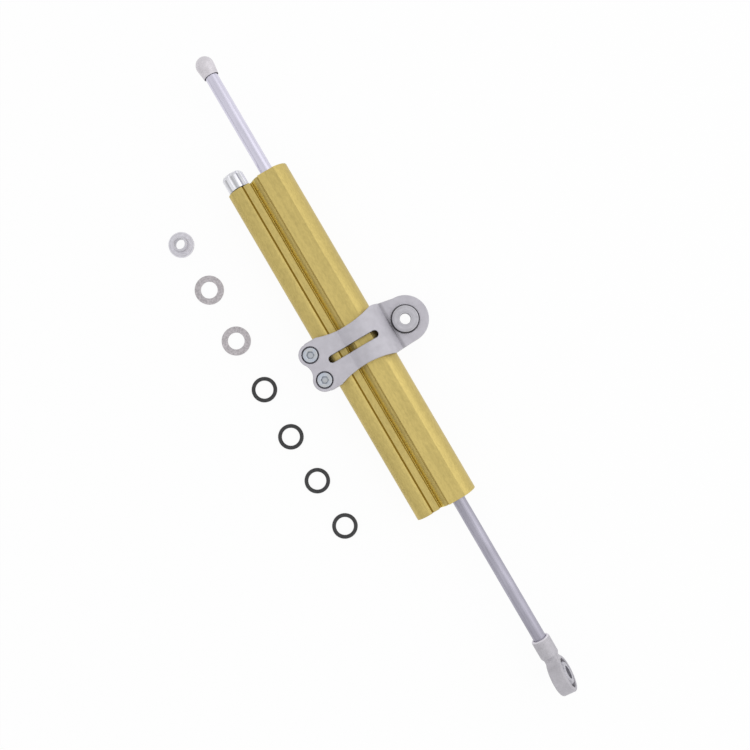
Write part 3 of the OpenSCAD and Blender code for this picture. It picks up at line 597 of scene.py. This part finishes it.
def rounded(node, radius, material, segments=3):
    """A CAD node with its sharp outer edges rounded."""
    shape = merged_copy(node)
    sharp = [e for e in shape.edges if e.is_manifold and e.is_convex and e.calc_face_angle() > SHARP]
    bmesh.ops.bevel(
        shape, geom=sharp, offset=radius, offset_type="OFFSET", segments=segments, profile=0.5,
        affect="EDGES", clamp_overlap=False, material=-1,
    )
    stand_for(node, shape, material)


class PieceOperator:
    """What the operators that make pieces have in common."""

    bl_options = {"REGISTER", "UNDO"}

    def execute(self, context):
        scene = context.scene
        self.make(scene.damper_edges, scene.damper_colours)
        return {"FINISHED"}


class DAMPER_OT_barrel(PieceOperator, bpy.types.Operator):
    """Round the barrel's cut ends and give it its gold"""

    bl_idname = "damper.barrel"
    bl_label = "Barrel"

    def make(self, edges, colours):
        rounded("barrel", edges.barrel, gold_anodised(colours.gold), segments=2)


class DAMPER_OT_rod(PieceOperator, bpy.types.Operator):
    """Chrome the rod and finish its ball cap and the bearings' balls"""

    bl_idname = "damper.rod"
    bl_label = "Rod and ball cap"

    def make(self, edges, colours):
        chrome = polished_chrome(colours.chrome)
        rounded("piston_rod", edges.rod, chrome, segments=1)
        rounded("end_cap", edges.rod, satin_cap(colours.cap), segments=1)
        ball = plain_steel("ball_steel", colours.ball, roughness=0.3)
        for node in ("rod_end_ball", "ear_ball"):
            rounded(node, edges.rod, ball, segments=2)
        dress("detent_ball", ball)


class DAMPER_OT_casting(PieceOperator, bpy.types.Operator):
    """Round the rod end as a casting, and darken its liner as painted shade"""

    bl_idname = "damper.casting"
    bl_label = "Rod end"

    def make(self, edges, colours):
        skin = cast_metal(colours.casting)
        # Painted shade: the liner is made dark to show shade in the gap round the ball
        liner = plain_steel("liner_steel", scaled(colours.steel, 0.35), roughness=0.4)
        dress("rod_end_race", liner)
        piece = stand_for("rod_end", merged_copy("rod_end"), skin, "_cast")
        remesh = piece.modifiers.new("Skin", "REMESH")
        remesh.mode = "VOXEL"
        remesh.voxel_size = edges.casting
        remesh.use_smooth_shade = True
        smooth = piece.modifiers.new("Soften", "SMOOTH")
        smooth.factor = SOFTEN_FACTOR
        smooth.iterations = SOFTEN_ROUNDS


class DAMPER_OT_clamp(PieceOperator, bpy.types.Operator):
    """Round both clamp halves and give them their blasted finish"""

    bl_idname = "damper.clamp"
    bl_label = "Clamp"

    def make(self, edges, colours):
        skin = blasted_aluminium(colours.clamp)
        for node in ("clamp_upper", "clamp_lower"):
            rounded(node, edges.clamp, skin)


class DAMPER_OT_screws(PieceOperator, bpy.types.Operator):
    """Round the clamp screws and plate them"""

    bl_idname = "damper.screws"
    bl_label = "Clamp screws"

    def make(self, edges, colours):
        rounded("clamp_bolts", edges.screws, zinc_plate(colours.zinc))


class DAMPER_OT_knob(PieceOperator, bpy.types.Operator):
    """Round the knob's lobes and brighten it, and darken its screw and the clips"""

    bl_idname = "damper.knob"
    bl_label = "Knob"

    def make(self, edges, colours):
        rounded("adjuster_knob", edges.knob, bright_aluminium(colours.knob), segments=2)
        dark = plain_steel("dark_steel", scaled(colours.steel, 0.3), roughness=0.4)
        for node in ("knob_screw", "head_circlips", "piston_clips"):
            dress(node, dark)


class DAMPER_OT_bushes(PieceOperator, bpy.types.Operator):
    """Round the two flanged bushes and face them on the lathe"""

    bl_idname = "damper.bushes"
    bl_label = "Flanged bushes"

    def make(self, edges, colours):
        # The loose bush is painted brighter than the one in the ear, as it is lit more, and lies with its
        # neck up
        for node, level, neck_r in (("ear_bush", 0.9, 0.0), ("spare_bush", 1.27, NECK_R)):
            metal = scaled(colours.bush, level)
            rings = turned_rings(node + "_turned", metal, middle(node), Z_AXIS, neck_r)
            rounded(node, edges.bushes, rings)


class DAMPER_OT_washers(PieceOperator, bpy.types.Operator):
    """Round the loose washers"""

    bl_idname = "damper.washers"
    bl_label = "Washers"

    def make(self, edges, colours):
        steel = plain_steel("washer_steel", colours.steel, roughness=0.34)
        rounded("spare_washers", edges.washers, steel)


class DAMPER_OT_seals(PieceOperator, bpy.types.Operator):
    """Give the seals and O-rings their rubber"""

    bl_idname = "damper.seals"
    bl_label = "Seals and O-rings"

    def make(self, edges, colours):
        rubber = seal_rubber(colours.rubber)
        for node, slot in SLOT_OF.items():
            if slot == "seal_rubber":
                dress(node, rubber)


class DAMPER_OT_inside(PieceOperator, bpy.types.Operator):
    """Finish the pieces inside the barrel"""

    bl_idname = "damper.inside"
    bl_label = "Inner pieces"

    def make(self, edges, colours):
        turned = turned_rings("turned_heads", colours.bush, ROD_AXIS, X_AXIS)
        valve = turned_rings("turned_valve", colours.bush, VALVE_AXIS, X_AXIS)
        for node in ("front_head", "rear_head", "piston"):
            dress(node, turned)
        for node in ("adjuster_gland", "reservoir_plug", "separator"):
            dress(node, valve)
        bronze = plain_steel("bronze", colours.bronze, roughness=0.36)
        steel = plain_steel("spring_steel", colours.steel, roughness=0.3)
        for node, slot in SLOT_OF.items():
            if slot == "bronze":
                dress(node, bronze)
            if slot == "plain_steel" and node not in ("spare_washers", "reservoir_spring"):
                dress(node, steel)
        self.spring(steel)

    def spring(self, steel):
        """The reservoir's spring, made on no body with its place baked in; the real spring shortens and
        lengthens with the separator.
        """
        coil = merged_copy("reservoir_spring")
        piece = stand_for("reservoir_spring", coil, steel, "_sprung", rides=False)
        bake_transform(piece)


class DAMPER_OT_stage(bpy.types.Operator):
    """Set the floor, the light and the camera"""

    bl_idname = "damper.stage"
    bl_label = "Stage"

    def execute(self, context):
        stage = context.scene.damper_stage
        self.floor(stage)
        self.sky(context.scene)
        self.lamp(context.scene, stage)
        self.camera(context.scene, stage)
        context.scene.view_settings.view_transform = "Standard"
        return {"FINISHED"}

    def floor(self, stage):
        """A white table that shadows hardly dim."""
        low = CAD_BOX[0].z
        shape = bmesh.new()
        bmesh.ops.create_grid(shape, x_segments=1, y_segments=1, size=TABLE_HALF)
        bmesh.ops.translate(shape, verts=shape.verts, vec=(0, 0, low))
        mesh = bpy.data.meshes.new("table")
        shape.to_mesh(mesh)
        shape.free()
        table = bpy.data.objects.new("table", mesh)
        bpy.context.scene.collection.objects.link(table)
        material, shader = new_finish("white_table")
        matt = shader.add("ShaderNodeBsdfDiffuse", inputs={"Color": TABLE_WHITE})
        glow = shader.add("ShaderNodeEmission", inputs={"Color": WHITE, "Strength": 1.0})
        seen = shader.seen()
        shade = shader.add("ShaderNodeMixShader", inputs={0: seen * stage.glow, 1: matt, 2: glow})
        shader.add("ShaderNodeOutputMaterial", inputs={"Surface": shade})
        mesh.materials.append(material)

    def sky(self, scene):
        """A studio with a little more light from the sides, white to the camera."""
        world = bpy.data.worlds.new("studio")
        scene.world = world
        world.use_nodes = True
        shader = Shader(world.node_tree)
        way = shader.add("ShaderNodeTexCoord", output="Generated")
        side = shader.add("ShaderNodeSeparateXYZ", inputs={"Vector": way}, output="Y")
        height = shader.add("ShaderNodeSeparateXYZ", inputs={"Vector": way}, output="Z")
        horizon = shader.ramp(height, HORIZON_TOP, 0.0)
        kit_gain = KIT_SIDE_GAIN - HORIZON_LOSS * horizon
        level = SKY_LEVEL + EAR_SIDE_GAIN * side.most(0.0) + kit_gain * (0.0 - side).most(0.0)
        white = shader.add("ShaderNodeLightPath", output="Is Camera Ray")
        strength = level + white * (1.0 - level)
        back = shader.add("ShaderNodeBackground", inputs={"Color": WHITE, "Strength": strength})
        shader.add("ShaderNodeOutputWorld", inputs={"Surface": back})

    def lamp(self, scene, stage):
        """A broad key lamp on the ear's side."""
        light = bpy.data.lights.new("key", "AREA")
        light.energy = stage.key
        light.shape = "DISK"
        light.size = stage.key_size
        lamp = bpy.data.objects.new("key", light)
        target = Vector(stage.centre)
        place = target + Vector(LAMP_OFFSET)
        aim = (target - place).to_track_quat("-Z", "Y")
        lamp.matrix_world = Matrix.LocRotScale(place, aim, None)
        scene.collection.objects.link(lamp)

    def camera(self, scene, stage):
        """A camera that looks straight down."""
        lens = bpy.data.cameras.new("camera")
        lens.sensor_width = SENSOR_MM
        lens.lens = lens.sensor_width * stage.distance / stage.frame_width
        lens.clip_start = NEAR_CLIP
        camera = bpy.data.objects.new("camera", lens)
        place = Vector(stage.centre) + Vector((0, 0, stage.distance))
        camera.matrix_world = Matrix.Translation(place) @ Matrix.Rotation(stage.turn, 4, "Z")
        scene.collection.objects.link(camera)
        scene.camera = camera


class DAMPER_PT_panel(bpy.types.Panel):
    """Buttons and sizes of the damper"""

    bl_label = "Steering damper"
    bl_idname = "DAMPER_PT_panel"
    bl_space_type = "VIEW_3D"
    bl_region_type = "UI"
    bl_category = "Damper"

    def draw(self, context):
        for operator in STEPS:
            self.layout.operator(operator.bl_idname)
        for group in (context.scene.damper_edges, context.scene.damper_colours, context.scene.damper_stage):
            for key in group.__annotations__:
                self.layout.prop(group, key)


GROUPS = (DamperEdges, DamperColours, DamperStage)
STEPS = (
    DAMPER_OT_barrel,
    DAMPER_OT_rod,
    DAMPER_OT_casting,
    DAMPER_OT_clamp,
    DAMPER_OT_screws,
    DAMPER_OT_knob,
    DAMPER_OT_bushes,
    DAMPER_OT_washers,
    DAMPER_OT_seals,
    DAMPER_OT_inside,
    DAMPER_OT_stage,
)


def register():
    for cls in (*GROUPS, *STEPS, DAMPER_PT_panel):
        bpy.utils.register_class(cls)
    bpy.types.Scene.damper_edges = PointerProperty(type=DamperEdges)
    bpy.types.Scene.damper_colours = PointerProperty(type=DamperColours)
    bpy.types.Scene.damper_stage = PointerProperty(type=DamperStage)


def unregister():
    del bpy.types.Scene.damper_stage
    del bpy.types.Scene.damper_colours
    del bpy.types.Scene.damper_edges
    for cls in reversed((*GROUPS, *STEPS, DAMPER_PT_panel)):
        bpy.utils.unregister_class(cls)


def main():
    register()
    for step in STEPS:
        family, name = step.bl_idname.split(".")
        getattr(getattr(bpy.ops, family), name)()


if __name__ == "__main__":
    main()
